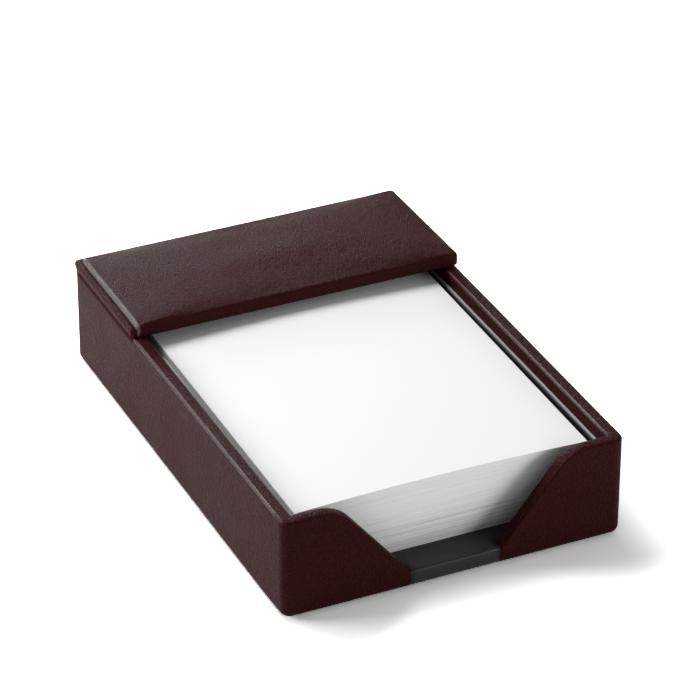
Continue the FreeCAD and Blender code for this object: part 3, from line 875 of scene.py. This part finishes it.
def swell_pad(piece):
    """Blows the pad up with its underside held, and keeps the swelling at the height of the crown.

    The left end is drawn tight, so it doesn't swell outwards.
    """
    mesh = piece.data
    held = piece.vertex_groups.new(name="held")
    held.add([vert.index for vert in mesh.vertices if vert.co.z < pad_low.z + APRON_THICKNESS], 1, "REPLACE")
    cloth = piece.modifiers.new("swelling", "CLOTH")
    cloth.settings.vertex_group_mass = "held"
    cloth.settings.mass = PAD_POINT_MASS
    cloth.settings.use_pressure = True
    cloth.settings.uniform_pressure_force = PAD_PRESSURE
    cloth.settings.effector_weights.gravity = 0
    cloth.point_cache.frame_end = PAD_FRAMES
    for frame_number in range(1, PAD_FRAMES + 1):
        scene.frame_set(frame_number)
    swollen = piece.evaluated_get(bpy.context.evaluated_depsgraph_get()).to_mesh()
    moves = [after.co - before.co for before, after in zip(mesh.vertices, swollen.vertices)]
    for move in moves:
        move.x = max(move.x, 0)
    scale = PAD_CROWN / max(move.z for move in moves)
    places = [before.co + move * scale for before, move in zip(mesh.vertices, moves)]
    piece.modifiers.remove(cloth)
    piece.vertex_groups.remove(held)
    scene.frame_set(1)
    for vert, place in zip(mesh.vertices, places):
        vert.co = place


def draw_pad(piece):
    """Rubs the left end and sets it in, draws in the back edge and skews the pad, as glued by hand."""
    burnish = piece.data.attributes.new("burnish", "FLOAT", "POINT")
    for vert in piece.data.vertices:
        near_end = max(1 - (vert.co.x - pad_low.x) / PAD_EDGE, 0)
        burnish.data[vert.index].value = PAD_BURNISH * min(near_end / PAD_RUB_FADE, 1)
        across = vert.co.x / pad_high.x
        along = (vert.co.y - pad_low.y) / (pad_high.y - pad_low.y)
        vert.co.x += (1 - across) / 2 * PAD_SET_IN
        vert.co.x += (1 + across) / 2 * (PAD_WIDER - (PAD_WIDER + PAD_NARROWER) * along)
        vert.co.y += along * (PAD_SKEW * across - PAD_DRAW_IN * (1 - across * across))


pad_top = Vector((pad_high.x, pad_high.y, pad_high.z - PAD_SEAT))
pad_mesh = slab_mesh(
    "lid_pad", pad_low, pad_top, PAD_CORNER, APRON_THICKNESS / 2, PAD_EDGE, PAD_PITCH, apron_depth
)
pad_material = leather_material(
    "pad_leather", pebbles=1300, least_roughness=0.3, grain_depth=0.22 * MM, polish=PAD_POLISH
)
pad = new_piece("lid_pad", pad_mesh, pad_material)
swell_pad(pad)
draw_pad(pad)
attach(pad, "lid")
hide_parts("lid_pad_leather", "lid_foam")

# Memo sheets: a pile of loose white paper, cut square. Each sheet and each run of sheets strays a
# little, the pile leans forward and bows up a little, and its uppermost sheets are turned.
SHEET_STEP = 0.1 * MM
SHEET_FILL = 0.99
STACK_LEAN = -3.2 * MM
SHEET_STRAY = 0.015 * MM
RUN_STRAY = 0.5 * MM
RUN_SHARES = (0.5, 1.0, 0.0)
RUNS_PER_SHEET = 0.09
SHEET_COLUMNS = 13
TURNED_SHEETS = 33
SHEET_TURN = math.radians(-0.4)
STACK_RISE = 1.2 * MM
STACK_SEED = 7
PAPER_DARK = (0.92, 0.92, 0.92)
PAPER_LIGHT = (0.96, 0.96, 0.96)
PAPER_ROUGHNESS = 0.8
PAPER_SPECULAR = 0.2
TOOTH_PER_METRE = 3000.0
TOOTH_BUMP = 0.2
TOOTH_DEPTH = 0.01 * MM
# Streaks on the cut edges of the sheets: partly their own tone and partly painted shade between the sheets.
# They grow as painted shade towards the foot of the pile, up to the unshaded level.
STREAK_AND_SHADE_COLOUR = (0.55, 0.55, 0.55)
STREAK_CONTRAST = (0.3, 0.7)
FOOT_UNSHADED_SHARE = -0.2
UNSHADED_HEIGHT_SHARE = 0.8
STREAKS_PER_METRE = (22, 22, 3200)
stack_low, stack_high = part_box("memo_sheets")
UNSHADED_LEVEL = stack_low.z + UNSHADED_HEIGHT_SHARE * (stack_high.z - stack_low.z)


def sheet_stack():
    """A tree that lays sheets on each other, strays them by chance, alone and in runs, and domes the pile."""
    group, given, made = new_group(
        "sheet_stack",
        [
            ("Sheets", "NodeSocketInt", 100),
            ("Sheet size", "NodeSocketVector", (0.1, 0.15, 0.0001)),
            ("Foot", "NodeSocketVector", (0.0, 0.0, 0.0)),
            ("Step", "NodeSocketVector", (0.0, 0.0, 0.0001)),
            ("Sheet stray", "NodeSocketFloat", 0.0001),
            ("Run stray", "NodeSocketFloat", 0.0005),
            ("Runs per sheet", "NodeSocketFloat", 0.1),
            ("Turned sheets", "NodeSocketInt", 0),
            ("Turn", "NodeSocketFloat", 0.0),
            ("Rise", "NodeSocketFloat", 0.0),
            ("Seed", "NodeSocketInt", 0),
            ("Material", "NodeSocketMaterial", None),
        ],
        [("Geometry", "NodeSocketGeometry")],
        "GeometryNodeTree",
    )
    socket = given.outputs
    feet = add_node(
        group,
        "GeometryNodeMeshLine",
        {"Count": socket["Sheets"], "Start Location": socket["Foot"], "Offset": socket["Step"]},
        mode="OFFSET",
    )
    index = group.nodes.new("GeometryNodeInputIndex").outputs[0]
    along = add_math(group, "MULTIPLY", index, socket["Runs per sheet"])
    runs = add_node(
        group, "ShaderNodeTexNoise", {"W": along, "Scale": 1.0, "Detail": 2.0}, noise_dimensions="1D"
    )
    centred = add_vector_math(group, "SUBTRACT", runs.outputs["Color"], (0.5, 0.5, 0.5))
    level = add_vector_math(group, "MULTIPLY", centred, RUN_SHARES)
    run_move = add_vector_math(group, "SCALE", level, socket["Run stray"])
    chance = add_node(
        group,
        "FunctionNodeRandomValue",
        {0: (-1.0, -1.0, 0.0), 1: (1.0, 1.0, 0.0), "ID": index, "Seed": socket["Seed"]},
        data_type="FLOAT_VECTOR",
    )
    sheet_move = add_vector_math(group, "SCALE", chance.outputs[0], socket["Sheet stray"])
    move = add_vector_math(group, "ADD", run_move, sheet_move)
    strayed = add_node(group, "GeometryNodeSetPosition", {"Geometry": feet.outputs[0], "Offset": move})
    sheet = add_node(
        group, "GeometryNodeMeshCube", {"Size": socket["Sheet size"], "Vertices X": SHEET_COLUMNS}
    )
    unturned = add_math(group, "SUBTRACT", socket["Sheets"], socket["Turned sheets"])
    is_turned = add_math(group, "GREATER_THAN", index, unturned)
    angle = add_math(group, "MULTIPLY", is_turned, socket["Turn"])
    euler = add_node(group, "ShaderNodeCombineXYZ", {"Z": angle})
    rotation = add_node(group, "FunctionNodeEulerToRotation", {0: euler.outputs[0]})
    laid = add_node(
        group,
        "GeometryNodeInstanceOnPoints",
        {"Points": strayed.outputs[0], "Instance": sheet.outputs[0], "Rotation": rotation.outputs[0]},
    )
    tone = add_node(
        group, "FunctionNodeRandomValue", {"ID": index, "Seed": socket["Seed"]}, data_type="FLOAT"
    )
    toned = add_node(
        group,
        "GeometryNodeStoreNamedAttribute",
        {"Geometry": laid.outputs[0], "Name": "sheet_tone", "Value": tone.outputs[1]},
        data_type="FLOAT",
        domain="INSTANCE",
    )
    real = add_node(group, "GeometryNodeRealizeInstances", {0: toned.outputs[0]})
    place = group.nodes.new("GeometryNodeInputPosition").outputs[0]
    from_foot = add_vector_math(group, "SUBTRACT", place, socket["Foot"])
    shares = add_vector_math(group, "DIVIDE", from_foot, socket["Sheet size"])
    share = add_node(group, "ShaderNodeSeparateXYZ", {0: shares}).outputs
    squared = add_math(group, "MULTIPLY", share["X"], share["X"])
    dome = add_math(group, "MULTIPLY_ADD", squared, -4.0, 1.0)
    level = add_math(group, "DIVIDE", share["Z"], socket["Sheets"])
    lift = add_math(group, "MULTIPLY", dome, level)
    rise = add_math(group, "MULTIPLY", lift, socket["Rise"])
    upward = add_node(group, "ShaderNodeCombineXYZ", {"Z": rise}).outputs[0]
    domed = add_node(group, "GeometryNodeSetPosition", {"Geometry": real.outputs[0], "Offset": upward})
    dressed = add_node(
        group, "GeometryNodeSetMaterial", {"Geometry": domed.outputs[0], "Material": socket["Material"]}
    )
    group.links.new(dressed.outputs[0], made.inputs[0])
    return group


def paper_material():
    """White paper with a faint tooth, each sheet a little off the next, and dark streaks on the cut edges,
    partly their own tone and partly painted shade between the sheets, with more painted shade towards the
    foot.
    """
    material, tree, shader, place = new_material("memo_paper", PAPER_ROUGHNESS, PAPER_SPECULAR)
    tone = add_node(tree, "ShaderNodeAttribute", attribute_name="sheet_tone").outputs["Fac"]
    paper = add_node(
        tree, "ShaderNodeMix", {0: tone, 6: (*PAPER_DARK, 1), 7: (*PAPER_LIGHT, 1)}, data_type="RGBA"
    )
    streaks = add_noise(tree, add_vector_math(tree, "MULTIPLY", place, STREAKS_PER_METRE), 1.0, 3.0)
    broken = add_node(
        tree, "ShaderNodeMapRange", {0: streaks.outputs[0], 1: STREAK_CONTRAST[0], 2: STREAK_CONTRAST[1]}
    )
    # Painted shade: below the unshaded level the streaks grow denser towards the foot of the pile.
    level = add_node(tree, "ShaderNodeSeparateXYZ", {0: place}).outputs["Z"]
    unshaded = add_node(
        tree, "ShaderNodeMapRange", {0: level, 1: stack_low.z, 2: UNSHADED_LEVEL, 3: FOOT_UNSHADED_SHARE, 4: 1.0}
    )
    share = add_math(tree, "ADD", unshaded.outputs[0], broken.outputs[0], clamp=True)
    colour = add_node(
        tree, "ShaderNodeMix", {0: share, 6: (*STREAK_AND_SHADE_COLOUR, 1), 7: paper.outputs[2]}, data_type="RGBA"
    )
    tree.links.new(colour.outputs[2], shader.inputs["Base Color"])
    tooth = add_noise(tree, place, TOOTH_PER_METRE, 3.0)
    add_bump(tree, shader, tooth.outputs[0], TOOTH_BUMP, TOOTH_DEPTH)
    return material


def grow(tree, name, values):
    """The plain mesh that a Geometry Nodes tree makes from its named inputs."""
    seed = bpy.data.objects.new(name, bpy.data.meshes.new(name))
    scene.collection.objects.link(seed)
    modifier = seed.modifiers.new(name, "NODES")
    modifier.node_group = tree
    for item in tree.interface.items_tree:
        if item.in_out == "INPUT":
            modifier[item.identifier] = values[item.name]
    grown = seed.evaluated_get(bpy.context.evaluated_depsgraph_get())
    mesh = bpy.data.meshes.new_from_object(grown)
    bpy.data.objects.remove(seed)
    return mesh


stack_span = stack_high - stack_low
sheet_count = round(stack_span.z / SHEET_STEP)
stack_foot = (stack_low + stack_high) / 2
stack_foot.y -= STACK_LEAN / 2
stack_foot.z = stack_low.z + SHEET_STEP / 2
stack_mesh = grow(
    sheet_stack(),
    "sheet_pile",
    {
        "Sheets": sheet_count,
        "Sheet size": (stack_span.x, stack_span.y, SHEET_STEP * SHEET_FILL),
        "Foot": stack_foot,
        "Step": (0, STACK_LEAN / sheet_count, SHEET_STEP),
        "Sheet stray": SHEET_STRAY,
        "Run stray": RUN_STRAY,
        "Runs per sheet": RUNS_PER_SHEET,
        "Turned sheets": TURNED_SHEETS,
        "Turn": SHEET_TURN,
        "Rise": STACK_RISE,
        "Seed": STACK_SEED,
        "Material": paper_material(),
    },
)
stack = bpy.data.objects.new("sheet_pile", stack_mesh)
scene.collection.objects.link(stack)
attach(stack, "sheets")
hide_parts("memo_sheets")

# Floor and light: a white table under a studio sweep, with soft boxes at the left, overhead, at the back
# and low at the front right. The camera sees the table brighter than it lights the tray, so that the
# background is white and the shadow stays pale.
FLOOR_SIZE = 6.0
TABLE_ROUGHNESS = 0.9
TABLE_WHITE = 0.92
TABLE_MIRRORED = 1.15
TABLE_SEEN = 2.15
WORLD_LIGHT = 0.18
SKY_SEEN = 0.28
SWEEP_SEEN = 1.0
SWEEP_TOP = math.sin(math.radians(14))
SWEEP_BEND = math.sin(math.radians(10))
LAMP_AIM = Vector((0, 0, 0.02))


def add_rays(tree):
    """Two sockets: 1 for rays from the camera, and 1 for rays in reflections and through glass."""
    ray = tree.nodes.new("ShaderNodeLightPath").outputs
    mirrored = add_math(tree, "MAXIMUM", ray["Is Glossy Ray"], ray["Is Transmission Ray"])
    return ray["Is Camera Ray"], mirrored


floor_material, floor_tree, floor_shader, _ = new_material("white_table", TABLE_ROUGHNESS, 0.0)
floor_seen, floor_mirrored = add_rays(floor_tree)
plain = add_node(floor_tree, "ShaderNodeMapRange", {0: floor_mirrored, 3: TABLE_WHITE, 4: TABLE_MIRRORED})
white = add_node(floor_tree, "ShaderNodeMapRange", {0: floor_seen, 3: plain.outputs[0], 4: TABLE_SEEN})
floor_tree.links.new(white.outputs[0], floor_shader.inputs["Base Color"])
floor_form = bmesh.new()
bmesh.ops.create_grid(floor_form, x_segments=1, y_segments=1, size=FLOOR_SIZE / 2)
floor_mesh = mesh_as_made(floor_form, "floor")
floor_mesh.materials.append(floor_material)
floor = bpy.data.objects.new("floor", floor_mesh)
scene.collection.objects.link(floor)

world = bpy.data.worlds.new("studio")
world.use_nodes = True
world_tree = world.node_tree
background = world_tree.nodes["Background"]
sky_place = world_tree.nodes.new("ShaderNodeTexCoord").outputs["Generated"]
sky_height = add_node(world_tree, "ShaderNodeSeparateXYZ", {0: sky_place}).outputs["Z"]
sweep = add_node(
    world_tree, "ShaderNodeMapRange", {0: sky_height, 1: SWEEP_BEND, 2: SWEEP_TOP, 3: SWEEP_SEEN, 4: SKY_SEEN}
)
sky_shown = add_math(world_tree, "MAXIMUM", *add_rays(world_tree))
strength = add_node(world_tree, "ShaderNodeMapRange", {0: sky_shown, 3: WORLD_LIGHT, 4: sweep.outputs[0]})
background.inputs["Color"].default_value = (1, 1, 1, 1)
world_tree.links.new(strength.outputs[0], background.inputs["Strength"])
scene.world = world


def soft_lamp(name, turn, rise, distance, width, height, power):
    """A soft box that points at the tray, turned from the back to the right and raised by degrees."""
    turn, rise = math.radians(turn), math.radians(rise)
    away = Vector((math.sin(turn) * math.cos(rise), math.cos(turn) * math.cos(rise), math.sin(rise)))
    lamp = bpy.data.lights.new(name, "AREA")
    lamp.shape = "RECTANGLE"
    lamp.size = width
    lamp.size_y = height
    lamp.energy = power
    holder = bpy.data.objects.new(name, lamp)
    holder.location = LAMP_AIM + distance * away
    holder.rotation_euler = away.to_track_quat("Z", "Y").to_euler()
    scene.collection.objects.link(holder)


soft_lamp("left_lamp", turn=-66, rise=20, distance=1.1, width=0.5, height=0.4, power=6.6)
soft_lamp("overhead_lamp", turn=-24, rise=55, distance=1.1, width=0.6, height=0.5, power=8.2)
soft_lamp("backdrop_lamp", turn=4, rise=12, distance=1.2, width=0.6, height=0.3, power=5.2)
soft_lamp("front_right_lamp", turn=140, rise=12, distance=1.2, width=0.6, height=0.3, power=5.3)
